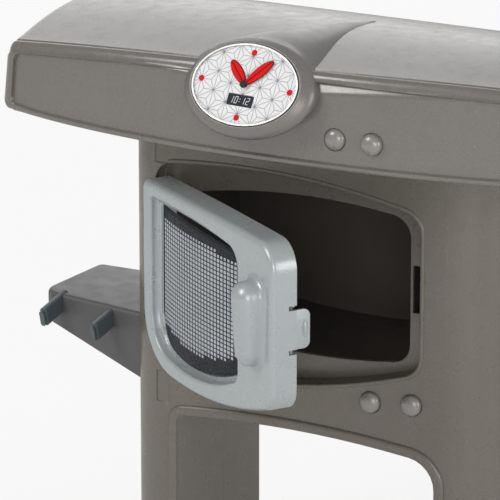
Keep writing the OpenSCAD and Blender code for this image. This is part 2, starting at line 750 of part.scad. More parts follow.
module door_shell() color(door_grey) placed() swung()
    difference() {
        union() {
            difference() {
                plate(door_front, door_rear) polygon(outline(door));
                plate(door_front + door_t, door_rear + 1) polygon(outline(door, -door_t));
            }
            difference() {
                union() {
                    ring(window, door_t, 0, door_front, door_front + 3);
                    ring(window, door_t, -window_step, door_front + 3, door_front + 6);
                    ring(window, door_t, -2 * window_step, door_front + 6, door_front + 8.2);
                }
                block(-200, 200, door_front - 9, door_front, 0, 400);
            }
            handle_block(0);
            for (z = knuckle_z) {
                translate([hinge_x, hinge_y, z]) cylinder(r = knuckle_r, h = knuckle_h, $fn = 48);
                block(hinge_x, door_left + 0.5, hinge_y - knuckle_r, hinge_y + knuckle_r, z, z + knuckle_h);
            }
            difference() {
                block(door_right - door_t, door_right, door_rear - 7, door_rear + tab_l,
                    tab_z - tab_h / 2, tab_z + tab_h / 2);
                for (s = [-1, 1])
                    translate([door_right, door_rear + tab_l, tab_z + s * tab_h / 2]) rotate([45, 0, 0])
                        cube([9, 8, 8], center = true);
            }
            translate([door_right - door_t / 2, door_rear + tab_l / 2, tab_z]) rotate([0, 90, 0])
                cylinder(r1 = 3.6, r2 = 2.6, h = door_t / 2 + tab_bump, $fn = 32);
            door_boss_places()
                rod_y(0, 0, door_boss_r, door_front + door_t - 0.5, door_rear - liner_plate - 0.6, 24);
        }
        plate(door_front - 1, door_front + 3) polygon(outline(window));
        plate(door_front - 1, door_rear) polygon(outline(window, -2 * window_step));
        for (s = [-1, 1])
            block(door_right - door_t - 1, door_right + 1, door_rear - 6.5, door_rear + 0.01,
                tab_z + s * (tab_h / 2 + 1.7) - 1.7, tab_z + s * (tab_h / 2 + 1.7) + 1.7);
        intersection() {
            handle_block(-2.4);
            block(-200, 200, door_front - handle_out, door_front + door_t + 1, 0, 400);
        }
        for (z = knuckle_z)
            translate([hinge_x, hinge_y, z - 1]) cylinder(r = pin_r + slide, h = knuckle_h + 2, $fn = 48);
        door_boss_places() rod_y(0, 0, door_screw_r + slide / 2, door_front + door_t + 1, door_rear, 24);
    }

pane_back = door_front + 8.2;
pane_r = (pow((window[1] - window[0]) / 2, 2) + pow(pane_sag, 2)) / (2 * pane_sag);
pane_mid = (window[0] + window[1]) / 2;

// Half-round front of the window, an upright cylinder with a soft crown
module pane_form(inset, back)
    intersection() {
        plate(pane_back - pane_sag - 2, back) polygon(outline(window, -2 * window_step - fit - inset));
        translate([pane_mid, pane_back - pane_sag + pane_r - 1 + inset, 0])
            cylinder(r = pane_r, h = 400, $fn = 360);
    }

module window_pane() color([0.35, 0.37, 0.4, 0.6]) placed() swung()
    difference() {
        union() {
            pane_form(0, pane_back + 1);
            plate(pane_back, pane_back + pane_t) polygon(outline(window, door_t));
        }
        pane_form(pane_t, pane_back + 3);
    }

module window_screen() color("#c8d2dc") placed() swung()
    difference() {
        pane_form(pane_t + 0.15, pane_back + 0.6);
        pane_form(pane_t + 0.75, pane_back + 2);
    }

// Inner frame that holds the pane and closes the back of the door
module door_liner() color("#8d9495") placed() swung()
    difference() {
        union() {
            plate(door_rear - liner_plate - fit, door_rear - fit) polygon(outline(door, -door_t - fit));
            ring(window, door_t - 0.2, -3, pane_back + pane_t, door_rear - fit - 0.5);
        }
        plate(door_front, door_rear + 1) polygon(outline(window, -3));
        door_boss_places() rod_y(0, 0, door_screw_r + 2 * slide, door_front, door_rear + 1, 24);
        door_boss_places() rod_y(0, 0, 2.4, door_rear - fit - 1.2, door_rear + 1, 24);
        block(door_right - door_t - 4, door_right, door_rear - 8, door_rear + 1,
            tab_z - tab_h / 2 - 4, tab_z + tab_h / 2 + 4);
    }

module door_screws() color(steel) placed() swung()
    door_boss_places() translate([0, door_rear - fit - 0.1, 0]) rotate([90, 0, 0])
        screw(door_screw_r, 9, 2.2, 1);

module hinge_pin() color(steel) placed()
    translate([hinge_x, hinge_y, post_z[0] + 4.2])
        cylinder(r = pin_r, h = post_z[1] - post_z[0] - 5, $fn = 48);

// ---------- side arm ----------

arm_front = 29;
arm_slant = 15;
arm_wall = 3;

arm_root = -col_w / 2 + 6;
arm_corner_r = 16;

// Depth of the front face of the arm at x
function arm_face(x) =
    arm_front + arm_slant * (arm_root - x) / (arm_root + col_w / 2 + arm_l - arm_corner_r);

function arm_plan(inset) =
    let(x0 = arm_root, x1 = -col_w / 2 - arm_l + inset, y0 = arm_front + inset,
        y1 = arm_front + arm_d + 8 - inset, r = arm_corner_r - inset)
    concat([[x0, y0 - 0.6]],
        arc(x1 + r, y0 + arm_slant + r, r, 262, 180, 8),
        arc(x1 + 14 - inset, y1 - 14 + inset, 14 - inset, 180, 90, 6),
        [[x0, y1]]);

function arm_side(inset) =
    let(x0 = arm_root, x1 = -col_w / 2 - arm_l)
    concat([[x0, arm_top - arm_h]],
        [for (t = [0:0.125:1]) [-col_w / 2 + t * (x1 + col_w / 2),
            arm_top - arm_h + (arm_h - arm_end_h) * (1.3 * t - 0.3 * t * t)]],
        [[x1 - 5, arm_top - arm_end_h], [x1 - 5, arm_top - inset], [x0, arm_top - inset]]);

module arm_block(inset)
    intersection() {
        linear_extrude(400) polygon(arm_plan(inset));
        translate([0, 200, 0]) rotate([90, 0, 0]) linear_extrude(400)
            translate([0, inset > 0 ? -20 : 0]) polygon(arm_side(inset - (inset > 0 ? 20 : 0)));
    }

arm_screw_yz = [[60, arm_top - 14], [100, arm_top - 14]];

module side_arm() color("#6d6c6a") placed()
    difference() {
        union() {
            difference() {
                arm_block(0);
                arm_block(arm_wall);
            }
            intersection() {
                arm_block(0);
                block(-col_w / 2 - arm_wall, -col_w / 2 + 6, 0, col_d, 0, col_h);
            }
        }
        front_block(-0.02, seam_y, 0, col_h);
        rear_block(-0.02, seam_y, 0, col_h);
        for (p = arm_screw_yz) translate([-col_w / 2 - 20, p[0], p[1]]) rotate([0, 90, 0])
            cylinder(r = shell_screw_r + 2 * slide, h = 30, $fn = 24);
        for (h = hook_places) hook_hole(h);
    }

module arm_screws() color(steel) placed()
    for (p = arm_screw_yz) translate([-col_w / 2 - arm_wall - 1.9, p[0], p[1]]) rotate([0, 90, 0])
        screw(shell_screw_r, 4.6, 3, 1.8);

hook_xz = [[-col_w / 2 - 73.4, arm_top - 7], [-col_w / 2 - 27, arm_top - 9]];
hook_places = [for (h = hook_xz) [h[0], arm_face(h[0]) + 1.4, h[1]]];
hook_w = 6;
hook_t = 14;
hook_droop = 14;

hook_back = 6.5;
collar_t = 2.4;

// Frame of a hook, drooping forward out of the arm, with z along the bar from its rear end
module along_hook(back)
    rotate([0, 0, -6]) rotate([hook_droop, 0, 0]) translate([0, back, 0]) rotate([90, 0, 0]) children();

// Flat peg with a rounded nose
module hook_bar(grow, l, back = hook_back) along_hook(back) {
    linear_extrude(l + back - 3) polygon(oval_box(hook_w / 2 + grow, hook_t / 2 + grow, 2.4));
    translate([0, 0, l + back - 3])
        linear_extrude(3) polygon(oval_box(hook_w / 2 + grow - 1, hook_t / 2 + grow - 1, 1.8));
}

module hook_hole(h) translate(h) hook_bar(fit / 2, 10, hook_back + 1);

module arm_hooks() color(slate) placed()
    for (h = hook_places) translate(h) {
        hook_bar(0, hook_l);
        along_hook(hook_back) translate([0, -hook_t / 2 + 2.5, 0])
            linear_extrude(collar_t) polygon(oval_box(hook_w / 2 + 2, hook_t / 2 - 1, 2.4));
    }

// ---------- fasteners ----------

module shell_screws() color(steel) placed()
    shell_boss_places() translate([0, col_d - 8 + 1.9, 0]) rotate([90, 0, 0])
        screw(shell_screw_r, col_d - 8 - seam_y + boss_l - 4, 2.8, 1.8);

module hood_screws() color(steel) placed() {
    top_screw_places() translate([0, 0, base_t + 1.8]) mirror([0, 0, 1])
        screw(top_screw_r, base_t + 10, 3.4, 1.8);
    base_screw_places() translate([0, 0, -1.8]) screw(top_screw_r, base_t + 14, 3.4, 1.8);
}

column_front();
column_rear();
cavity_liner();
latch_catch();
left_foot();
right_foot();
hood_shell();
hood_base();
clock_pod();
clock_dial();
clock_bezel();
dial_markers();
clock_display();
hour_hand();
minute_hand();
hand_pin();
button_hood_left();
button_hood_right();
button_panel_left();
button_panel_right();
button_cups();
button_springs();
door_shell();
window_pane();
window_screen();
door_liner();
door_screws();
hinge_pin();
side_arm();
arm_hooks();
shell_screws();
hood_screws();
arm_screws();
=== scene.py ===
# Looks of the toy oven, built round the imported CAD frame. Sizes are in millimetres in the
# part's own frame: the column front plane is y = 0 and faces -Y, the base is z = 0.
import math

import bmesh
import bpy
from mathutils import Matrix, Vector


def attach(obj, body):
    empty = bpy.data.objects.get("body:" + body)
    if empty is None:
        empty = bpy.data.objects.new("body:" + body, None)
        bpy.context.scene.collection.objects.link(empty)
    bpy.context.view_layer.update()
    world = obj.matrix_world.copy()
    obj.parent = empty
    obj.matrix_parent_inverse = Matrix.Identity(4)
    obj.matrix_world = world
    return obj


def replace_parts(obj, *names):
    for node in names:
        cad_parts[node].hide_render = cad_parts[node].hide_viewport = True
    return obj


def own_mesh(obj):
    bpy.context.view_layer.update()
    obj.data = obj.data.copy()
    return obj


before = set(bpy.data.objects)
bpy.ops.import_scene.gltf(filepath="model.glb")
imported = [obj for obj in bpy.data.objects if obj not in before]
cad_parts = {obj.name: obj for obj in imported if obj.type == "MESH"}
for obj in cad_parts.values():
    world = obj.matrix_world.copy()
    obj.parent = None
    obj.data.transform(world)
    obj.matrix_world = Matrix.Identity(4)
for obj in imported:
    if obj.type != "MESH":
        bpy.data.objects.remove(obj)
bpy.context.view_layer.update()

# ---------- sizes ----------

# Column
COL_W, COL_D, COL_H = 294, 130, 366
WALL = 3
FOOT_H = 6

# Outlines: left, right, top, bottom, top bow, top middle, bottom bow, bottom middle, then the
# corner radii at the top left, top right, bottom right and bottom left
RECESS = (-118.5, 88.5, 342.3, 187.2, 0.0009, -48, 0.0012, -58, 16, 16, 16, 38)
SHELF = (-101, 101, 156.6, -20, 0.0006, -20, 0, 0, 5, 22, 1, 1)
DOOR = (-112, 79, 330.2, 191.3, 0.0001, 0, 0.0015, -46, 7, 20, 15, 44)
WINDOW = (-99, 29.5, 319.2, 203, 0.0006, -70, 0.0033, -44, 4, 14, 10, 30)
EDGE_STEPS, CORNER_STEPS = 20, 12

# Lip round the shelf space, and bead round the recess
LIP_W, LIP_OUT = 6.9, 2.0
RIM_W, RIM_OUT, RIM_START = 2.6, 0.95, -106

# Door, with its hinge, pull, snap tab, pane and mesh pattern
DOOR_FRONT, DOOR_REAR, DOOR_T = -4.5, 15.5, 2.6
DOOR_EDGE_R, WINDOW_EDGE_R = 4.5, 2.2
DOOR_OPEN = math.radians(34.8)
HINGE_X, HINGE_Y = -127, 11
KNUCKLE_R, KNUCKLE_H, PIN_R, PIN_FIT = 4.2, 14, 2, 0.08
KNUCKLE_Z = (219, 287)
HANDLE_X, HANDLE_Z, HANDLE_W, HANDLE_H, HANDLE_OUT = 56.5, 271, 23.5, 61, 17
HANDLE_TAPER = 0.22
TAB_Z, TAB_H, TAB_L, TAB_BUMP = 269, 28, 10, 1.9
NOTCH_H, NOTCH_DEPTH = 3.4, 6.5
PANE_BACK, PANE_SAG, PANE_T, PANE_STEP = 3.7, 6, 1.6, 5.2
PANE_MID = (WINDOW[0] + WINDOW[1]) / 2
PANE_R = (((WINDOW[1] - WINDOW[0]) / 2) ** 2 + PANE_SAG ** 2) / (2 * PANE_SAG)
FILM_GAP, FILM_T = 0.35, 0.4
GRID_COLUMN, GRID_ROW, GRID_MID_Z = 4.2, 3.15, 262
LINE_UPRIGHT, LINE_LEVEL, LINE_BY_EDGE = 1.35, 0.85, 1.5
BAND_LOW, BAND_HIGH = 17, 14

# Hood, with the panel and the facet of its fascia
HOOD_HALF, HOOD_OUT, HOOD_BACK, FASCIA_H, BOW_R = 232.5, 50, 135, 66.2, 850
HOOD_LEAN, HOOD_SPLAY, HOOD_WALL = 6, 0.0002, 3
BEAD_H, INLAY_D, CROWN, END_ROUND = 7, 2.5, 8, 8
EDGE_TOP_X, FALL_LEFT, FALL_RIGHT = 90, 17, 6
HOOD_LIP_R, REAR_R = 2.6, 12
PANEL_END, PANEL_LOW, PANEL_CORNER, PANEL_STEP = 9, 3.9, 6, 1.1
FACET_H, FACET_MID, FACET_REACH, FACET_SLOPE = 8, 12, 135, 0.5

# Clock: dial, nacelle, lattice, hands and display
DIAL_PLACE = Vector((-20.8, -52, 419.4))
DIAL_YAW, DIAL_TILT = math.radians(5.8), math.radians(30)
DIAL_A, DIAL_B, DIAL_DROP = 42, 29.2, 1
POD_GROW_A, POD_GROW_B, POD_START = 9.9, 6.8, 9
TAIL_TIP = Vector((10.5, 90, 435))
STAR_COLUMN, LATTICE_LINE, LATTICE_MARGIN = 35.5 / 3, 0.5, 1.6
HOUR_L, MINUTE_L, HAND_W = 21.6, 25.5, 7
HOUR_ANGLE, MINUTE_ANGLE = math.radians(44.8), math.radians(-42.7)
DISPLAY_X, DISPLAY_Y = -0.8, -11

# Buttons and their springs
BUTTON_R, BUTTON_DOME, BUTTON_TRAVEL, FLANGE_T, FLANGE_OVER = 7.6, 5.5, 2.5, 1.6, 1.6
SPRING_R, SPRING_WIRE, SPRING_TURNS, SPRING_L = 4.2, 0.5, 3.5, 7.4
# Node: body, x, z, wall face, and the wall's depth behind it
BUTTONS = {
    "button_hood_left": ("hood_button_left", 44, 387.2, -44, 9),
    "button_hood_right": ("hood_button_right", 71, 386.8, -44, 9),
    "button_panel_left": ("panel_button_left", 51, 186, 0, WALL),
    "button_panel_right": ("panel_button_right", 82.5, 188.6, 0, WALL),
}

# Side arm
ARM_L, ARM_D, ARM_TOP, ARM_H, ARM_END_H = 90, 86, 213, 49.5, 21
ARM_FRONT, ARM_SLANT, ARM_WALL, ARM_CORNER = 29, 15, 3, 16
ARM_REAR_R, ARM_TAPER, ARM_EDGE = 6, 6, 3.5

# Light, and the camera in metres and radians
WORLD_LIGHT, FLOOR_WHITE = 0.45, 0.8
CAMERA_TARGET = Vector((-0.043, -0.065, 0.284))
CAMERA_AZIMUTH, CAMERA_ELEVATION = math.radians(26.8), math.radians(17.5)
CAMERA_DISTANCE, CAMERA_LENS = 3.15, 324


# ---------- places ----------

def housed(p):
    """A point of the part's own frame, in metres."""
    return Vector((p[0], p[1] - COL_D / 2, p[2])) * 0.001


def swung(p):
    """A point of the closed door, carried to its resting angle."""
    x, y = p[0] - HINGE_X, p[1] - HINGE_Y
    c, s = math.cos(-DOOR_OPEN), math.sin(-DOOR_OPEN)
    return housed((HINGE_X + x * c - y * s, HINGE_Y + x * s + y * c, p[2]))


DIAL_FRAME = (Matrix.Translation(DIAL_PLACE) @ Matrix.Rotation(-DIAL_YAW, 4, "Z")
              @ Matrix.Rotation(math.pi / 2 - DIAL_TILT, 4, "X"))


def on_dial(p):
    """A point of the dial: x to the right, y up along it, z out of it."""
    return housed(DIAL_FRAME @ Vector(p))


# ---------- materials ----------

def colour(r, g, b, k=1.0):
    """An sRGB colour written 0 to 255, as a linear one."""
    def linear(v):
        v = min(v * k, 255) / 255
        return v / 12.92 if v <= 0.04045 else ((v + 0.055) / 1.055) ** 2.4
    return (linear(r), linear(g), linear(b), 1)


def noise(nodes, links, coord, scale, detail):
    n = nodes.new("ShaderNodeTexNoise")
    n.inputs["Scale"].default_value = scale
    n.inputs["Detail"].default_value = detail
    links.new(coord, n.inputs["Vector"])
    return n.outputs["Fac"]


def ramp(nodes, links, fac, stops):
    r = nodes.new("ShaderNodeValToRGB")
    r.color_ramp.elements[0].position, r.color_ramp.elements[0].color = stops[0]
    r.color_ramp.elements[1].position, r.color_ramp.elements[1].color = stops[-1]
    for position, c in stops[1:-1]:
        r.color_ramp.elements.new(position).color = c
    links.new(fac, r.inputs["Fac"])
    return r.outputs["Color"]


def spread(nodes, links, fac, low, high):
    m = nodes.new("ShaderNodeMapRange")
    m.inputs["From Min"].default_value, m.inputs["From Max"].default_value = 0.3, 0.7
    m.inputs["To Min"].default_value, m.inputs["To Max"].default_value = low, high
    links.new(fac, m.inputs["Value"])
    return m.outputs["Result"]


def moulded(name, rgb, rough=0.42, fleck=0.10, tone=0.05, grain=0.12, metal=0.0, round_mm=0.0,
            shine=0.5):
    """Moulded plastic: a fine fleck, a slow change of tone, an uneven sheen and a light grain.
    round_mm rounds the sharp edges of a CAD node in its shading."""
    m = bpy.data.materials.new(name)
    m.use_nodes = True
    nodes, links = m.node_tree.nodes, m.node_tree.links
    shader = nodes["Principled BSDF"]
    coord = nodes.new("ShaderNodeTexCoord").outputs["Object"]
    fine = noise(nodes, links, coord, 1500, 1)
    slow = noise(nodes, links, coord, 14, 3)
    flecks = ramp(nodes, links, fine, [(0.30, colour(*rgb, 1 - fleck)), (0.48, colour(*rgb)),
                                       (0.60, colour(*rgb, 1 + 0.4 * fleck)),
                                       (0.74, colour(*rgb, 1 + 2 * fleck))])
    tones = ramp(nodes, links, slow, [(0.3, (1 - tone,) * 3 + (1,)), (0.7, (1, 1, 1, 1))])
    mix = nodes.new("ShaderNodeMix")
    mix.data_type, mix.blend_type = "RGBA", "MULTIPLY"
    mix.inputs["Factor"].default_value = 1
    links.new(flecks, mix.inputs["A"])
    links.new(tones, mix.inputs["B"])
    links.new(mix.outputs["Result"], shader.inputs["Base Color"])
    links.new(spread(nodes, links, noise(nodes, links, coord, 90, 2), rough - 0.05, rough + 0.05),
              shader.inputs["Roughness"])
    shader.inputs["Metallic"].default_value = metal
    shader.inputs["Specular IOR Level"].default_value = shine
    bump = nodes.new("ShaderNodeBump")
    bump.inputs["Strength"].default_value = grain
    bump.inputs["Distance"].default_value = 0.0003
    links.new(fine, bump.inputs["Height"])
    if round_mm:
        bevel = nodes.new("ShaderNodeBevel")
        bevel.samples = 4
        bevel.inputs["Radius"].default_value = round_mm * 0.001
        links.new(bevel.outputs["Normal"], bump.inputs["Normal"])
    links.new(bump.outputs["Normal"], shader.inputs["Normal"])
    return m


def clear_pane(name):
    """Clear tinted plastic: mostly see-through, with a soft reflection."""
    m = bpy.data.materials.new(name)
    m.use_nodes = True
    nodes, links = m.node_tree.nodes, m.node_tree.links
    shader = nodes["Principled BSDF"]
    coord = nodes.new("ShaderNodeTexCoord").outputs["Object"]
    tint = ramp(nodes, links, noise(nodes, links, coord, 20, 2),
                [(0.3, colour(60, 64, 70)), (0.7, colour(80, 85, 90))])
    links.new(tint, shader.inputs["Base Color"])
    rough = spread(nodes, links, noise(nodes, links, coord, 60, 2), 0.10, 0.16)
    links.new(rough, shader.inputs["Roughness"])
    shader.inputs["Alpha"].default_value = 0.10
    return m


LOOKS = {
    "column_grey": moulded("column_look", (116, 110, 102), 0.30, 0.05, grain=0.03, metal=0.25,
                           round_mm=1.6),
    "hood_grey": moulded("hood_look", (120, 116, 111), 0.24, 0.06, grain=0.02, metal=0.2, shine=0.9),
    "cavity_dark": moulded("cavity_look", (70, 64, 58), 0.6, 0.06, round_mm=0.8),
    "foot_dark": moulded("foot_look", (58, 55, 52), 0.6, 0.06, round_mm=0.8),
    "pod_grey": moulded("pod_look", (124, 121, 118), 0.32, 0.04, grain=0.02, metal=0.25, shine=0.7),
    "dial_white": moulded("dial_look", (240, 240, 240), 0.7, 0.01, 0.01, 0.02, shine=0.1),
    "bezel_bright": moulded("bezel_look", (176, 175, 172), 0.3, 0.02, 0.02, 0.02, metal=0.5),
    "clock_red": moulded("red_look", (222, 28, 26), 0.6, 0.03, 0.03, 0.03, shine=0.1),
    "display_dark": moulded("display_look", (50, 52, 56), 0.6, 0.04, 0.03, 0.03, shine=0.1),
    "button_silver": moulded("button_look", (146, 142, 138), 0.28, 0.04, grain=0.02, metal=0.3),
    "door_silver": moulded("door_look", (174, 180, 181), 0.30, 0.01, 0.04, 0.0, metal=0.3),
    "window_clear": clear_pane("pane_look"),
    "screen_mesh": moulded("film_look", (34, 36, 40), 0.5, 0.05, grain=0.0, shine=0.1),
    "arm_grey": moulded("arm_look", (92, 91, 91), 0.42, 0.05, grain=0.03, metal=0.1, shine=0.5),
    "peg_slate": moulded("peg_look", (84, 94, 98), 0.36, 0.04, grain=0.03, round_mm=1.2),
    "steel": moulded("steel_look", (190, 192, 194), 0.28, 0.04, 0.04, 0.05, metal=0.9),
}
LATTICE_LOOK = moulded("lattice_look", (184, 184, 188), 0.7, 0.02, 0.02, 0.02, shine=0.1)
DIGIT_LOOK = moulded("digit_look", (226, 230, 234), 0.6, 0.02, 0.02, 0.02, shine=0.1)
MESH_LOOK = moulded("mesh_look", (226, 232, 238), 0.5, 0.04, 0.16, 0.0, shine=0.1)
# Dark red for the rims under the clock hands: painted shadow of the hands, a shaded copy of their red.
HAND_SHADOW_LOOK = moulded("hand_painted_shadow_look", (74, 30, 30), 0.6, 0.04, 0.03, 0.03, shine=0.1)


# ---------- mesh helpers ----------

def mark_smooth(mesh, angle=32):
    """Rounded faces shade smoothly, and edges sharper than the angle stay crisp."""
    bm = bmesh.new()
    bm.from_mesh(mesh)
    bmesh.ops.remove_doubles(bm, verts=bm.verts, dist=1e-6)
    bmesh.ops.recalc_face_normals(bm, faces=bm.faces)
    limit = math.radians(angle)
    for f in bm.faces:
        f.smooth = True
    for e in bm.edges:
        e.smooth = len(e.link_faces) == 2 and e.calc_face_angle(0) < limit
    bm.to_mesh(mesh)
    bm.free()


def piece(name, points, faces, place, body, slot, look=None, angle=32):
    mesh = bpy.data.meshes.new(name)
    mesh.from_pydata([place(p) for p in points], [], faces)
    mark_smooth(mesh, angle)
    obj = bpy.data.objects.new(name, mesh)
    bpy.context.scene.collection.objects.link(obj)
    mesh.materials.append(look or LOOKS[slot])
    if body:
        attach(obj, body)
    return obj


def loft(rings, closed=False):
    """Skin over rings of equal length. A closed loft joins its last ring to its first, and
    an open one is capped at both ends."""
    n, k = len(rings[0]), len(rings)
    points = [p for ring in rings for p in ring]
    faces = []
    for j in range(k if closed else k - 1):
        a, b = j * n, ((j + 1) % k) * n
        faces += [(a + i, a + (i + 1) % n, b + (i + 1) % n, b + i) for i in range(n)]
    if not closed:
        faces += [tuple(range(n - 1, -1, -1)), tuple((k - 1) * n + i for i in range(n))]
    return points, faces


def joined(*solids):
    """Several lists of points and faces as one."""
    points, faces = [], []
    for p, f in solids:
        base = len(points)
        points += p
        faces += [tuple(base + i for i in face) for face in f]
    return points, faces


def cut(obj, *cutters, angle=32):
    """Takes the cutters' solids out of obj, and deletes them."""
    for c in cutters:
        m = obj.modifiers.new("cut", "BOOLEAN")
        m.operation, m.solver, m.object = "DIFFERENCE", "EXACT", c
    bpy.context.view_layer.update()
    shown = obj.evaluated_get(bpy.context.evaluated_depsgraph_get())
    mesh = bpy.data.meshes.new_from_object(shown)
    obj.modifiers.clear()
    obj.data = mesh
    for c in cutters:
        bpy.data.objects.remove(c)
    mark_smooth(mesh, angle)
    return obj


BOX_FACES = ((4, 5, 6, 7), (3, 2, 1, 0), (0, 1, 5, 4), (1, 2, 6, 5), (2, 3, 7, 6), (3, 0, 4, 7))


def box(x0, x1, y0, y1, z0, z1):
    return loft([[(x0, y0, z), (x1, y0, z), (x1, y1, z), (x0, y1, z)] for z in (z0, z1)])


def turned(profile, n=64):
    """Turns a profile of (radius, height) about the z axis."""
    angles = [2 * math.pi * i / n for i in range(n)]
    return [[(r * math.cos(a), r * math.sin(a), h) for a in angles] for r, h in profile]


def arc(cx, cz, r, a0, a1, n):
    angles = [math.radians(a0 + (a1 - a0) * i / n) for i in range(n + 1)]
    return [(cx + r * math.cos(a), cz + r * math.sin(a)) for a in angles]


def top_edge(p, x):
    return p[2] - p[4] * (x - p[5]) ** 2


def bottom_edge(p, x):
    return p[3] + p[6] * (x - p[7]) ** 2


def corner(p, k):
    """Fillet of an outline: corner 0 is top left, 1 top right, 2 bottom right, 3 bottom left."""
    r, right, top = p[8 + k], k in (1, 2), k < 2
    v = 1 if top else -1
    cx = p[1] - r if right else p[0] + r
    m = -2 * p[4] * (cx - p[5]) if top else 2 * p[6] * (cx - p[7])
    cz = (top_edge(p, cx) if top else bottom_edge(p, cx)) - v * r * math.sqrt(1 + m * m)
    a_edge, a_side = 90 * v + math.degrees(math.atan(m)), 0 if right else 180 * v
    return arc(cx, cz, r, *((a_side, a_edge) if k in (0, 2) else (a_edge, a_side)), CORNER_STEPS)


def outline(p, g=0.0):
    """Points of an outline, grown outwards by g."""
    q = (p[0] - g, p[1] + g, p[2] + g, p[3] - g, *p[4:8], *(max(r + g, 0.5) for r in p[8:]))
    tl, tr, bl, br = q[0] + q[8], q[1] - q[9], q[0] + q[11], q[1] - q[10]
    steps = [i / EDGE_STEPS for i in range(1, EDGE_STEPS)]
    return (corner(q, 0) + [(tl + (tr - tl) * t, top_edge(q, tl + (tr - tl) * t)) for t in steps]
            + corner(q, 1) + corner(q, 2)
            + [(br + (bl - br) * t, bottom_edge(q, br + (bl - br) * t)) for t in steps] + corner(q, 3))


def ring(p, g, y):
    return [(x, y, z) for x, z in outline(p, g)]


def inside(p, g, x, z):
    """Whether a point lies in an outline grown by g."""
    pts = outline(p, g)
    hit = False
    for (x0, z0), (x1, z1) in zip(pts, pts[1:] + pts[:1]):
        if (z0 > z) != (z1 > z) and x < x0 + (z - z0) * (x1 - x0) / (z1 - z0):
            hit = not hit
    return hit


# ---------- door ----------

def door_casting():
    """Thin shell with a rounded front edge and a stepped, beaded reveal round the window."""
    edge_r, lip_r = DOOR_EDGE_R, WINDOW_EDGE_R
    rings = [ring(DOOR, -DOOR_T, DOOR_REAR), ring(DOOR, -0.6, DOOR_REAR),
             ring(DOOR, 0, DOOR_REAR - 0.6), ring(DOOR, 0, DOOR_FRONT + edge_r)]
    for a in range(15, 91, 15):
        s, c = math.sin(math.radians(a)), math.cos(math.radians(a))
        rings.append(ring(DOOR, -edge_r * (1 - c), DOOR_FRONT + edge_r * (1 - s)))
    for a in range(0, 91, 18):
        s, c = math.sin(math.radians(a)), math.cos(math.radians(a))
        rings.append(ring(WINDOW, lip_r * (1 - s), DOOR_FRONT + lip_r * (1 - c)))
    reveal = [(-0.1, 3.2), (-0.4, 4.4), (-0.8, 5.6), (-1.2, 6.5), (-1.7, 7.0), (-2.2, 7.0), (-2.6, 6.5),
              (-3.0, 6.1), (-3.6, 6.0), (-4.2, 6.3), (-4.7, 7.0), (-PANE_STEP, 8.2), (DOOR_T, 8.2),
              (DOOR_T, DOOR_T)]
    rings += [ring(WINDOW, g, DOOR_FRONT + d) for g, d in reveal]
    rings.append(ring(DOOR, -DOOR_T, DOOR_FRONT + DOOR_T))
    casting = piece("door_casting", *loft(rings, closed=True), swung, "door", "door_silver")
    notches = []
    for side in (-1, 1):
        mid = TAB_Z + side * (TAB_H + NOTCH_H) / 2
        notches.append(box(DOOR[1] - DOOR_T - 1, DOOR[1] + 1, DOOR_REAR - NOTCH_DEPTH, DOOR_REAR + 1,
                           mid - NOTCH_H / 2, mid + NOTCH_H / 2))
    cut(casting, piece("notches", *joined(*notches), swung, None, None, LATTICE_LOOK))
    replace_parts(casting, "door_shell")


def stadium(grow, y, n=14):
    """Upright rounded bar of the handle at a height y in front of the door."""
    r, reach = HANDLE_W / 2 + grow, (HANDLE_H - HANDLE_W) / 2
    top = arc(HANDLE_X, HANDLE_Z + reach, r, 0, 180, n)
    slim = [(x, z, 1 - HANDLE_TAPER * max(0, HANDLE_Z + reach - z) / HANDLE_H)
            for x, z in top + arc(HANDLE_X, HANDLE_Z - reach, r, 180, 360, n)]
    return [(HANDLE_X + (x - HANDLE_X) * k, DOOR_FRONT - y * k, z) for x, z, k in slim]


def door_pull():
    """Capsule with a fillet at its root and a full round front."""
    flare = [(4.6, -0.3), (4.0, 0.15), (2.6, 0.7), (1.4, 1.5), (0.5, 2.8), (0.1, 4)]
    rings = [stadium(g, y) for g, y in flare] + [stadium(-0.1, 5.5), stadium(-0.3, 7)]
    for a in range(10, 91, 8):
        s, c = math.sin(math.radians(a)), math.cos(math.radians(a))
        rings.append(stadium((HANDLE_W / 2 - 0.3) * c - HANDLE_W / 2 + 0.05, 7 + (HANDLE_OUT - 7) * s))
    piece("door_pull", *loft(rings), swung, "door", "door_silver", angle=50)


def door_tab():
    """Snap tab on the door's free side, with the upright ridge that clicks into the latch."""
    y0, y1, z0, z1 = DOOR_REAR - 1, DOOR_REAR + TAB_L, TAB_Z - TAB_H / 2, TAB_Z + TAB_H / 2

    def plan(inset):
        r = 5 - inset
        return [(y0, z0 + inset)] + arc(y1 - inset - r, z0 + inset + r, r, 270, 360, 6) + \
            arc(y1 - inset - r, z1 - inset - r, r, 0, 90, 6) + [(y0, z1 - inset)]
    x1 = DOOR[1]
    sides = [(x1 - DOOR_T, 0.6), (x1 - DOOR_T + 0.6, 0), (x1 - 0.7, 0), (x1 - 0.25, 0.2),
             (x1 - 0.1, 0.7)]
    body = loft([[(x, y, z) for y, z in plan(inset)] for x, inset in sides])
    ridge = [[(x1 - 0.5 + h, y1 - 4.2 + r * 1.5 * math.cos(a), TAB_Z + r * 5.5 * math.sin(a))
              for a in [2 * math.pi * i / 32 for i in range(32)]]
             for r, h in [(1.25, 0), (1.15, 0.6), (1.0, 1.2), (0.75, 1.65), (0.4, TAB_BUMP + 0.48)]]
    piece("door_tab", *joined(body, loft(ridge)), swung, "door", "door_silver")


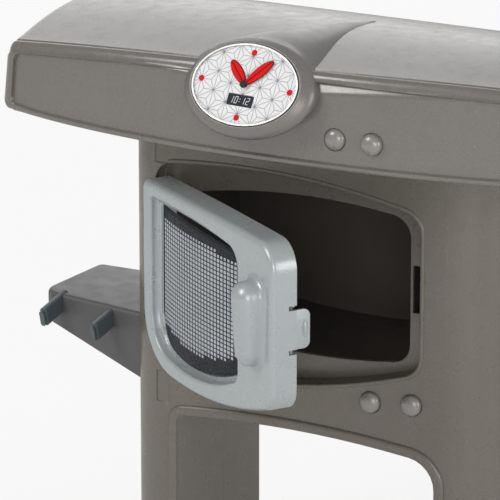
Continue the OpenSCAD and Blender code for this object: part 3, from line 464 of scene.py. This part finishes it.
def hinge_knuckles():
    """Two eyes on a web, with a bore for the pin."""
    n = 72
    solids = []
    for z in KNUCKLE_Z:
        def eye(height, inset):
            pts = []
            for i in range(n):
                a = 2 * math.pi * i / n
                c, s = math.cos(a), math.sin(a)
                r = KNUCKLE_R - inset
                if c > 0.01:
                    web = r / max(abs(s), 1e-6)
                    r = max(r, min((DOOR[0] + 0.5 - HINGE_X) / c, web))
                pts.append((HINGE_X + r * c, HINGE_Y + r * s, height))
            return pts
        bore = [[(HINGE_X + px, HINGE_Y + py, h) for px, py, h in r]
                for r in turned([(PIN_R + PIN_FIT, z + KNUCKLE_H), (PIN_R + PIN_FIT, z)], n)]
        solids.append(loft([eye(z, 0.5), eye(z + 0.5, 0), eye(z + KNUCKLE_H - 0.5, 0),
                            eye(z + KNUCKLE_H, 0.5)] + bore, closed=True))
    piece("hinge_knuckles", *joined(*solids), swung, "door", "door_silver")


def pane_y(x, behind):
    """Depth of the curved pane at x, a distance behind its front."""
    return PANE_BACK - PANE_SAG + PANE_R - 1 + behind - math.sqrt(PANE_R ** 2 - (x - PANE_MID) ** 2)


def window_grid():
    """Dark film behind the pane, and on it the light squares of the mesh pattern."""
    front, back = PANE_T + FILM_GAP, PANE_T + FILM_GAP + FILM_T
    border, reach = -PANE_STEP - 0.5, WINDOW[1] - WINDOW[0]
    rim = outline(WINDOW, border)
    columns = 40
    left, right = min(p[0] for p in rim), max(p[0] for p in rim)
    xs = [left + (right - left) * i / columns for i in range(columns + 1)]

    def span(x):
        """Lowest and highest z of the film at x."""
        x = min(max(x, xs[0] + 0.02), xs[-1] - 0.02)
        zs = []
        for (x0, z0), (x1, z1) in zip(rim, rim[1:] + rim[:1]):
            if (x0 > x) != (x1 > x):
                zs.append(z0 + (x - x0) * (z1 - z0) / (x1 - x0))
        return min(zs), max(zs)
    sheet = []
    for x in xs:
        lo, hi = span(x)
        sheet.append([(x, pane_y(x, front), lo), (x, pane_y(x, front), hi), (x, pane_y(x, back), hi),
                      (x, pane_y(x, back), lo)])
    film = piece("window_film", *loft(sheet), swung, "door", "screen_mesh")
    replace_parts(film, "window_screen")
    points, faces = [], []
    rows = int(reach / GRID_ROW) + 1
    for i in range(-rows, rows):
        for j in range(-rows, rows):
            x, z = PANE_MID + i * GRID_COLUMN, GRID_MID_Z + j * GRID_ROW
            lo, hi = bottom_edge(WINDOW, x) + BAND_LOW, top_edge(WINDOW, x) - BAND_HIGH
            if not (inside(WINDOW, border - GRID_ROW / 2, x, z) and lo < z < hi):
                continue
            thin = LINE_BY_EDGE if min(z - lo, hi - z) < GRID_ROW else 1
            wide, tall = (GRID_COLUMN - LINE_UPRIGHT * thin) / 2, (GRID_ROW - LINE_LEVEL * thin) / 2
            base = len(points)
            for depth in (front + 0.05, front - 0.08):
                points += [(x + u * wide, pane_y(x + u * wide, depth), z + v * tall)
                           for u, v in ((-1, -1), (1, -1), (1, 1), (-1, 1))]
            faces += [tuple(base + k for k in f) for f in BOX_FACES]
    piece("window_mesh", points, faces, swung, "door", "screen_mesh", MESH_LOOK)


# ---------- column trims ----------

def swept(path, section):
    """Sweeps a section of (across, depth) along a path of (x, z) that has its outside on the
    left hand, as a closed solid."""
    rings = []
    for i, (x, z) in enumerate(path):
        x0, z0 = path[max(i - 1, 0)]
        x1, z1 = path[min(i + 1, len(path) - 1)]
        length = math.hypot(x1 - x0, z1 - z0)
        nx, nz = -(z1 - z0) / length, (x1 - x0) / length
        rings.append([(x + nx * g, y, z + nz * g) for g, y in section])
    return loft(rings)


def rolled(width, height, n=12):
    """Half-round section that stands out of the column front."""
    half, angles = width / 2, [math.pi * i / n for i in range(n + 1)]
    crest = [(half - (half + 0.2) * math.cos(a), -0.2 - height * math.sin(a) ** 0.55) for a in angles]
    return [(-0.2, 1.2)] + crest + [(width + 0.2, 1.2)]


def column_trims():
    """Rolled lip round the shelf space, and the bead round the recess, clear of the hinge."""
    pts = outline(SHELF)
    n = CORNER_STEPS + 1
    over = pts[:n + EDGE_STEPS - 1 + n]
    path = [(SHELF[0], FOOT_H + 0.3)] + over + [(SHELF[1], FOOT_H + 0.3)]
    piece("shelf_lip", *swept(path, rolled(LIP_W, LIP_OUT)), housed, "housing", "column_grey", angle=50)
    pts = outline(RECESS)
    end = 3 * n + 2 * (EDGE_STEPS - 1) + n // 2
    keep = [p for p in pts[CORNER_STEPS // 2:end] if p[0] > RIM_START]
    bead = swept(keep, rolled(RIM_W, RIM_OUT))
    piece("recess_bead", *bead, housed, "housing", "column_grey", angle=50)


# ---------- hood ----------

def bow(x):
    """How far the bowed front lies back at x."""
    return BOW_R - math.sqrt(BOW_R ** 2 - x * x)


def hood_edge(x):
    """Height of the hood's front edge, highest at EDGE_TOP_X and falling to both ends."""
    if x < EDGE_TOP_X:
        fall = FALL_LEFT * ((EDGE_TOP_X - x) / (EDGE_TOP_X + HOOD_HALF)) ** 2.6
    else:
        fall = FALL_RIGHT * ((x - EDGE_TOP_X) / (HOOD_HALF - EDGE_TOP_X)) ** 2.2
    return COL_H + FASCIA_H - fall


def end_inset(x):
    """How much the rounded ends draw the section in."""
    over = abs(x) - (HOOD_HALF - END_ROUND)
    return 0 if over <= 0 else END_ROUND - math.sqrt(max(0, END_ROUND ** 2 - over ** 2))


def inlay(x, z, low, high):
    """Depth of the fascia at a point: a recessed panel with rounded corners, and above it a
    facet that slopes back under the bead, tallest beside the clock."""
    half, mid = (high - low) / 2, (high + low) / 2
    dx = abs(x) - (HOOD_HALF - PANEL_END - PANEL_CORNER)
    dz = abs(z - mid) - (half - PANEL_CORNER)
    gap = math.hypot(max(dx, 0), max(dz, 0)) + min(max(dx, dz), 0) - PANEL_CORNER
    t = min(max(-gap / PANEL_STEP, 0), 1)
    facet = FACET_H * max(0, 1 - abs(x - FACET_MID) / FACET_REACH)
    return INLAY_D * t * t * (3 - 2 * t) + FACET_SLOPE * max(0, z - high + facet)


def hood_section(x):
    """Outer section of the hood at x, from the rear foot forwards, up the fascia and back."""
    e = end_inset(x)
    yf, zb, zt = -HOOD_OUT + bow(x) + e, COL_H + 3 * (x / HOOD_HALF) ** 6 + e, hood_edge(x) - e
    yt, yr = yf + HOOD_LEAN, HOOD_BACK - e
    zr = COL_H + FASCIA_H - 3 - 5 * (x / HOOD_HALF) ** 4 - e
    rise = CROWN * (1 - (x / HOOD_HALF) ** 2 * 0.3)
    lip = [(yf + HOOD_LIP_R * (1 - math.cos(a)), zb + HOOD_LIP_R * (1 - math.sin(a)))
           for a in [math.radians(90 - 15 * i) for i in range(7)]]
    low, high = zb + PANEL_LOW, zt - BEAD_H - 0.2
    heights = [low + d for d in (0, 0.4, 0.8, 1.2, 1.8, 3, 5, 7)]
    heights += [low + 8 + (high - low - 18) * i / 6 for i in range(7)]
    heights += [high - d for d in (9, 8, 7, 6, 5, 4, 3, 2.2, 1.6, 1.2, 0.8, 0.4, 0)]
    face = [(yf + HOOD_LEAN * (z - zb) / (zt - zb) * 0.6 + inlay(x, z, low, high), z) for z in heights]
    bead = [(yt + BEAD_H * (0.75 + 0.85 * math.cos(a)), zt - BEAD_H * (1 - math.sin(a)))
            for a in [math.radians(d) for d in range(172, 99, -8)]]
    y0 = yt + BEAD_H + 1.2
    groove = [(yt + BEAD_H * 0.8, zt - 0.1), (yt + BEAD_H * 0.92, zt - 0.5), (yt + BEAD_H, zt - 1.3),
              (yt + BEAD_H + 0.5, zt - 0.7), (y0, zt + 0.3)]
    top = [(y0 + t * (yr - y0 - 12.8), zt + (zr - zt) * t + rise * math.sin(math.pi * t))
           for t in [0.05 + 0.85 * i / 16 for i in range(17)]]
    rear = [(yr - REAR_R * (1 - math.cos(a)), zr - REAR_R * (1 - math.sin(a)))
            for a in [math.radians(d) for d in range(80, -1, -10)]]
    return [(yr, zb), (yf + 40, zb)] + lip + face + bead + groove + top + rear


def hood_hollow(x):
    """Section of the space inside the hood, open below."""
    yf, zt = -HOOD_OUT + bow(x) + HOOD_WALL + INLAY_D, hood_edge(x) - HOOD_WALL
    yr, zr = HOOD_BACK - HOOD_WALL, COL_H + FASCIA_H - 9 - 5 * (x / HOOD_HALF) ** 4
    return [(yr, COL_H - 2), (yf + 0.5, COL_H - 2), (yf + 1, COL_H + 9), (yf + HOOD_LEAN, zt - BEAD_H),
            (yf + HOOD_LEAN + 3, zt - 3), (yf + HOOD_LEAN + 16, zt - 1.5), (HOOD_BACK / 2, zt + 1),
            (HOOD_BACK - 24, zr + 1), (yr - 7, zr - 3), (yr, zr - 12)]


def leaning(section, x):
    """Ends lean inwards as they rise."""
    return [(x * (1 - HOOD_SPLAY * (z - COL_H)), y, z) for y, z in section]


def along_y(x, z, rings):
    """Turned rings laid along -Y, their height measured forwards from y = 0."""
    return [[(x + p[0], -p[2], z + p[1]) for p in r] for r in rings]


def hood_skin():
    """Bowed hood, hollow below, with round holes for its two buttons."""
    half = [HOOD_HALF * i / 16 for i in range(16)] + [HOOD_HALF - d for d in
            (13, 12, 11, 10.4, 10, 9.6, 9.2, 8.8, 8, 7, 6, 5, 4, 3, 2.2, 1.5, 0.9, 0.4, 0.1)]
    stations = [-x for x in reversed(half[1:])] + half
    skin = piece("hood_skin", *loft([leaning(hood_section(x), x) for x in stations]), housed, "housing",
                 "hood_grey", angle=40)
    inner = [(-1 + 0.125 * i) * (HOOD_HALF - HOOD_WALL - 1) for i in range(17)]
    hollow = loft([leaning(hood_hollow(x), x) for x in inner])
    cutters = [piece("hollow", *hollow, housed, None, None, LATTICE_LOOK)]
    for _, x, z, face, _ in BUTTONS.values():
        if face < 0:
            hole = along_y(x, z, turned([(BUTTON_R + 0.4, 20), (BUTTON_R + 0.4, 60)]))
            cutters.append(piece("hole", *loft(hole), housed, None, None, LATTICE_LOOK))
    cut(skin, *cutters, angle=40)
    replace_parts(skin, "hood_shell")


# ---------- clock ----------

def behind(depth):
    """Place at a depth behind the dial, along its normal."""
    level = math.cos(DIAL_TILT)
    return DIAL_PLACE + depth * Vector((math.sin(DIAL_YAW) * level, math.cos(DIAL_YAW) * level,
                                        -math.sin(DIAL_TILT)))


def oval_ring(c, a, b, tilt, yaw, n=96):
    """Ellipse about c that leans back by tilt and turns by yaw."""
    pts = []
    for i in range(n):
        u = 2 * math.pi * i / n
        x, y = a * math.cos(u), b * math.sin(u)
        h, z = y * math.sin(tilt), y * math.cos(tilt)
        pts.append((c[0] + x * math.cos(yaw) + h * math.sin(yaw),
                    c[1] - x * math.sin(yaw) + h * math.cos(yaw), c[2] + z))
    return pts


def pod_skin():
    """Oval nacelle: the dial's pocket, a rounded rim and a fairing that tapers to the rear."""
    pocket = [(3.0, 0.25), (0.6, 0.25), (0.2, 0.4), (-0.1, 0.9), (-0.15, 1.5), (0.05, 2.2), (0.5, 2.9),
              (1.1, 3.7), (1.9, 4.8), (2.9, 6.2), (4.2, 7.7), (5.6, 8.8), (7.2, 9.5)]
    rings = [oval_ring(behind(d), DIAL_A + g, DIAL_B + g * 0.7, DIAL_TILT, DIAL_YAW) for d, g in pocket]
    start, steps = behind(POD_START), 30
    for i in range(steps + 1):
        t = 0.995 * (i / steps) ** 0.85
        k = (1 - t) ** 0.92
        rings.append(oval_ring(start + t * (TAIL_TIP - start), (DIAL_A + POD_GROW_A) * k,
                               (DIAL_B + POD_GROW_B) * k, DIAL_TILT * max(0, 1 - 2.2 * t),
                               DIAL_YAW * (1 - t)))
    pod = piece("pod_skin", *loft(rings), housed, "housing", "pod_grey", angle=50)
    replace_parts(pod, "clock_pod")


def strip(a, b, width, low, high):
    """Flat bar between two points of the dial."""
    dx, dy = b[0] - a[0], b[1] - a[1]
    n = math.hypot(dx, dy)
    ox, oy = -dy / n * width / 2, dx / n * width / 2
    corners = [(a[0] + ox, a[1] + oy), (a[0] - ox, a[1] - oy),
               (b[0] - ox, b[1] - oy), (b[0] + ox, b[1] + oy)]
    return loft([[(x, y, z) for x, y in corners] for z in (low, high)])


def clipped(a, b):
    """Part of a line that lies on the dial's face, or None."""
    def at(t):
        return a[0] + (b[0] - a[0]) * t, a[1] + (b[1] - a[1]) * t
    ra, rb = DIAL_A - LATTICE_MARGIN, DIAL_B - LATTICE_MARGIN
    on = [t for t in [i / 24 for i in range(25)] if (at(t)[0] / ra) ** 2 + (at(t)[1] / rb) ** 2 < 1]
    return [at(on[0]), at(on[-1])] if len(on) >= 3 else None


def dial_lattice():
    """Hemp-leaf lattice: a net of triangles, each with three spokes to its middle. One axis
    of the net stands upright and the marks lie on its stars."""
    pitch = STAR_COLUMN / math.cos(math.radians(30))

    def star(i, j):
        return (i * STAR_COLUMN, pitch * j + (0 if i % 2 else pitch / 2))
    lines = []
    for i in range(-5, 5):
        for j in range(-5, 5):
            a, b = star(i, j), star(i, j + 1)
            k = j if i % 2 else j + 1
            right, left = star(i + 1, k), star(i - 1, k)
            low = star(i + 1, k - 1)
            lines += [(a, b), (a, right), (a, low)]
            for apex in (right, left):
                mid = tuple((a[n] + b[n] + apex[n]) / 3 for n in (0, 1))
                lines += [(mid, a), (mid, b), (mid, apex)]
    solids = []
    for a, b in lines:
        c = clipped(a, b)
        if c:
            solids.append(strip(*c, LATTICE_LINE, -DIAL_DROP - 0.02, -DIAL_DROP + 0.06))
    piece("dial_lattice", *joined(*solids), on_dial, "housing", "dial_white", LATTICE_LOOK)


SEGMENTS = {"0": "abcdef", "1": "bc", "2": "abged"}


def display_digits():
    """Seven-segment time, slanted, as on any clock."""
    w, h, bar, slant = 1.9, 4.6, 0.42, 0.16
    ends = {"a": ((0, h), (w, h)), "b": ((w, h), (w, h / 2)), "c": ((w, h / 2), (w, 0)),
            "d": ((0, 0), (w, 0)), "e": ((0, 0), (0, h / 2)), "f": ((0, h / 2), (0, h)),
            "g": ((0, h / 2), (w, h / 2))}
    low, high = -DIAL_DROP + 0.05, -DIAL_DROP + 0.16
    solids = []

    def put(x, y):
        return (DISPLAY_X + x + slant * (y - h / 2), DISPLAY_Y + y - h / 2)
    for text, x0 in zip("1012", (-7.6, -4.0, 1.6, 5.2)):
        for s in SEGMENTS[text]:
            a, b = ends[s]
            solids.append(strip(put(x0 + a[0], a[1]), put(x0 + b[0], b[1]), bar, low, high))
    for y in (h * 0.3, h * 0.7):
        solids.append(strip(put(-0.35, y - 0.3), put(-0.35, y + 0.3), 0.6, low, high))
    piece("display_digits", *joined(*solids), on_dial, "housing", "display_dark", DIGIT_LOOK)


def petal(length, grow):
    """Outline of a hand: a long leaf with a blunt tip."""
    ts = [0.5 - 0.5 * math.cos(math.pi * i / 28) for i in range(29)]
    half = [(HAND_W / 2 * math.sin(math.pi * t ** 1.15) ** 0.55 + grow, t * (length + 2 * grow) - grow)
            for t in ts]
    return half + [(-x, y) for x, y in reversed(half)]


def hands():
    """Red leaves with a rounded edge, each with a thin dark red rim below it: painted shadow along the
    hand's edges.
    """
    for name, length, angle, low in (("hour", HOUR_L, HOUR_ANGLE, -DIAL_DROP + 0.22),
                                     ("minute", MINUTE_L, MINUTE_ANGLE, -DIAL_DROP + 1.42)):
        c, s = math.cos(angle), math.sin(angle)

        def leaf(grow, z):
            return [(x * c - y * s, x * s + y * c, z) for x, y in petal(length, grow)]
        red = loft([leaf(0, low + 0.16), leaf(0, low + 0.8), leaf(-0.3, low + 1.05)])
        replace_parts(piece(name + "_leaf", *red, on_dial, name, "clock_red"), name + "_hand")
        # Dark red rim a little wider than the hand, just below it: painted shadow along the hand's
        # edge.
        border = loft([leaf(0.45, low), leaf(0.45, low + 0.18)])
        piece(name + "_border", *border, on_dial, name, "clock_red", HAND_SHADOW_LOOK)


# ---------- buttons ----------

def button_domes():
    """Buttons with a domed face and the flange that keeps them in their cups."""
    for node, (body, x, z, face, back) in BUTTONS.items():
        front = BUTTON_TRAVEL - 1.5
        seat, flange_r = -back - 0.4, BUTTON_R + FLANGE_OVER
        profile = [(0.01, seat - FLANGE_T), (flange_r, seat - FLANGE_T), (flange_r, seat),
                   (BUTTON_R, seat), (BUTTON_R, front)]
        profile += [(max(BUTTON_R * math.cos(math.radians(a)), 0.01),
                     front + (BUTTON_DOME - 1) * math.sin(math.radians(a))) for a in range(6, 91, 6)]
        rings = [[(px, py, pz - face) for px, py, pz in r] for r in turned(profile)]
        dome = loft(along_y(x, z, rings))
        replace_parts(piece(node + "_dome", *dome, housed, body, "button_silver", angle=40), node)


def springs():
    """One coil behind each button."""
    steps, sides = 12, 8
    for node, (body, x, z, face, back) in BUTTONS.items():
        front = face + back + FLANGE_T + 0.6
        rings = []
        for i in range(int(SPRING_TURNS * steps) + 1):
            a = 2 * math.pi * i / steps
            y = front + SPRING_WIRE + SPRING_L * i / (SPRING_TURNS * steps)
            wire = [(SPRING_R + SPRING_WIRE * math.cos(b), y + SPRING_WIRE * math.sin(b))
                    for b in [2 * math.pi * j / sides for j in range(sides)]]
            rings.append([(x + r * math.cos(a), py, z + r * math.sin(a)) for r, py in wire])
        name = node.replace("button", "spring")
        coil = piece(name, *loft(rings), housed, "housing", "steel", angle=50)
        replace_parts(coil, "button_springs")
        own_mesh(coil)


# ---------- arm ----------

def arm_plan(inset):
    """Plan of the arm, drawn in by inset, from the column round its free end."""
    x0, x1 = -COL_W / 2 + 1.5, -COL_W / 2 - ARM_L + inset
    y0, y1 = ARM_FRONT + inset, ARM_FRONT + ARM_D + 8 - inset
    r, rear = ARM_CORNER - inset, ARM_REAR_R - inset
    face = arc(x1 + r, y0 + ARM_SLANT + r, r, 262, 180, 12)
    return [(x0, y0 + 1)] + face + arc(x1 + rear + ARM_TAPER, y1 - rear, rear, 180, 90, 10) + [(x0, y1)]


def arm_low(x):
    """Height of the arm's lower edge, which rises to its free end."""
    t = min(max((-COL_W / 2 - x) / ARM_L, 0), 1)
    return ARM_TOP - ARM_H + (ARM_H - ARM_END_H) * (1.3 * t - 0.3 * t * t)


def arm_skin():
    """Tapered shelf, open below, with a soft edge round its top."""
    rings = []
    for a in range(0, 91, 15):
        s, c = math.sin(math.radians(a)), math.cos(math.radians(a))
        rings.append([(x, y, ARM_TOP - ARM_EDGE * (1 - c)) for x, y in arm_plan(ARM_EDGE * (1 - s))])
    rings += [[(x, y, arm_low(x)) for x, y in arm_plan(g)] for g in (0, ARM_WALL)]
    rings.append([(x, y, ARM_TOP - ARM_WALL) for x, y in arm_plan(ARM_WALL)])
    arm = piece("arm_skin", *loft(rings), housed, "housing", "arm_grey", angle=50)
    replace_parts(arm, "side_arm")


# ---------- stage ----------

def floor():
    """Pale floor that keeps the shadow, and that the camera sees as nearly white."""
    size = 12
    mesh = bpy.data.meshes.new("floor")
    corners = ((-size, -size), (size, -size), (size, size), (-size, size))
    mesh.from_pydata([(x, y, -0.0005) for x, y in corners], [], [(0, 1, 2, 3)])
    obj = bpy.data.objects.new("floor", mesh)
    bpy.context.scene.collection.objects.link(obj)
    look = moulded("floor_look", (250, 250, 250), 0.9, 0.0, 0.01, 0.0)
    nodes, links = look.node_tree.nodes, look.node_tree.links
    white, path, mix = (nodes.new("ShaderNode" + k) for k in ("Emission", "LightPath", "MixShader"))
    seen = nodes.new("ShaderNodeMath")
    seen.operation = "MULTIPLY"
    links.new(path.outputs["Is Camera Ray"], seen.inputs[0])
    seen.inputs[1].default_value = FLOOR_WHITE
    links.new(seen.outputs["Value"], mix.inputs["Fac"])
    links.new(nodes["Principled BSDF"].outputs["BSDF"], mix.inputs[1])
    links.new(white.outputs["Emission"], mix.inputs[2])
    links.new(mix.outputs["Shader"], nodes["Material Output"].inputs["Surface"])
    mesh.materials.append(look)


def lamp(name, place, aim, size, power):
    data = bpy.data.lights.new(name, "AREA")
    data.shape, data.size, data.energy = "DISK", size, power
    obj = bpy.data.objects.new(name, data)
    bpy.context.scene.collection.objects.link(obj)
    obj.visible_camera = False
    obj.location = place
    obj.rotation_euler = (Vector(place) - Vector(aim)).to_track_quat("Z", "Y").to_euler()


def studio():
    """Four soft lamps and a plain world, which the camera sees as white."""
    aim = (-0.03, 0, 0.25)
    lamp("key", (-1.6, -2.2, 2.4), aim, 1.5, 34)
    lamp("front", (1.4, -2.8, 0.9), aim, 1.6, 20)
    lamp("side", (3.0, -0.5, 0.9), aim, 1.6, 22)
    lamp("rear", (-1.5, 2.6, 1.5), aim, 2.6, 17)
    world = bpy.data.worlds.new("world")
    bpy.context.scene.world = world
    world.use_nodes = True
    nodes, links = world.node_tree.nodes, world.node_tree.links
    light, white = nodes["Background"], nodes.new("ShaderNodeBackground")
    for background, strength in ((light, WORLD_LIGHT), (white, 1)):
        background.inputs["Color"].default_value = (1, 1, 1, 1)
        background.inputs["Strength"].default_value = strength
    path = nodes.new("ShaderNodeLightPath")
    mix = nodes.new("ShaderNodeMixShader")
    either = nodes.new("ShaderNodeMath")
    either.operation = "MAXIMUM"
    links.new(path.outputs["Is Camera Ray"], either.inputs[0])
    links.new(path.outputs["Is Transmission Ray"], either.inputs[1])
    links.new(either.outputs["Value"], mix.inputs["Fac"])
    links.new(light.outputs["Background"], mix.inputs[1])
    links.new(white.outputs["Background"], mix.inputs[2])
    links.new(mix.outputs["Shader"], nodes["World Output"].inputs["Surface"])
    bpy.context.scene.view_settings.view_transform = "Standard"


def camera():
    """Camera at the photograph's angle."""
    data = bpy.data.cameras.new("camera")
    obj = bpy.data.objects.new("camera", data)
    bpy.context.scene.collection.objects.link(obj)
    bpy.context.scene.camera = obj
    a, e = CAMERA_AZIMUTH, CAMERA_ELEVATION
    back = Vector((math.sin(a) * math.cos(e), -math.cos(a) * math.cos(e), math.sin(e)))
    obj.location = CAMERA_TARGET + back * CAMERA_DISTANCE
    obj.rotation_euler = back.to_track_quat("Z", "Y").to_euler()
    data.lens, data.sensor_width, data.clip_end = CAMERA_LENS, 36, 50


camera()
studio()
floor()
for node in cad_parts.values():
    for slot in node.material_slots:
        slot.material = LOOKS[slot.material.name.split(".")[0]]
door_casting()
door_pull()
door_tab()
hinge_knuckles()
window_grid()
column_trims()
hood_skin()
pod_skin()
dial_lattice()
display_digits()
hands()
button_domes()
springs()
arm_skin()
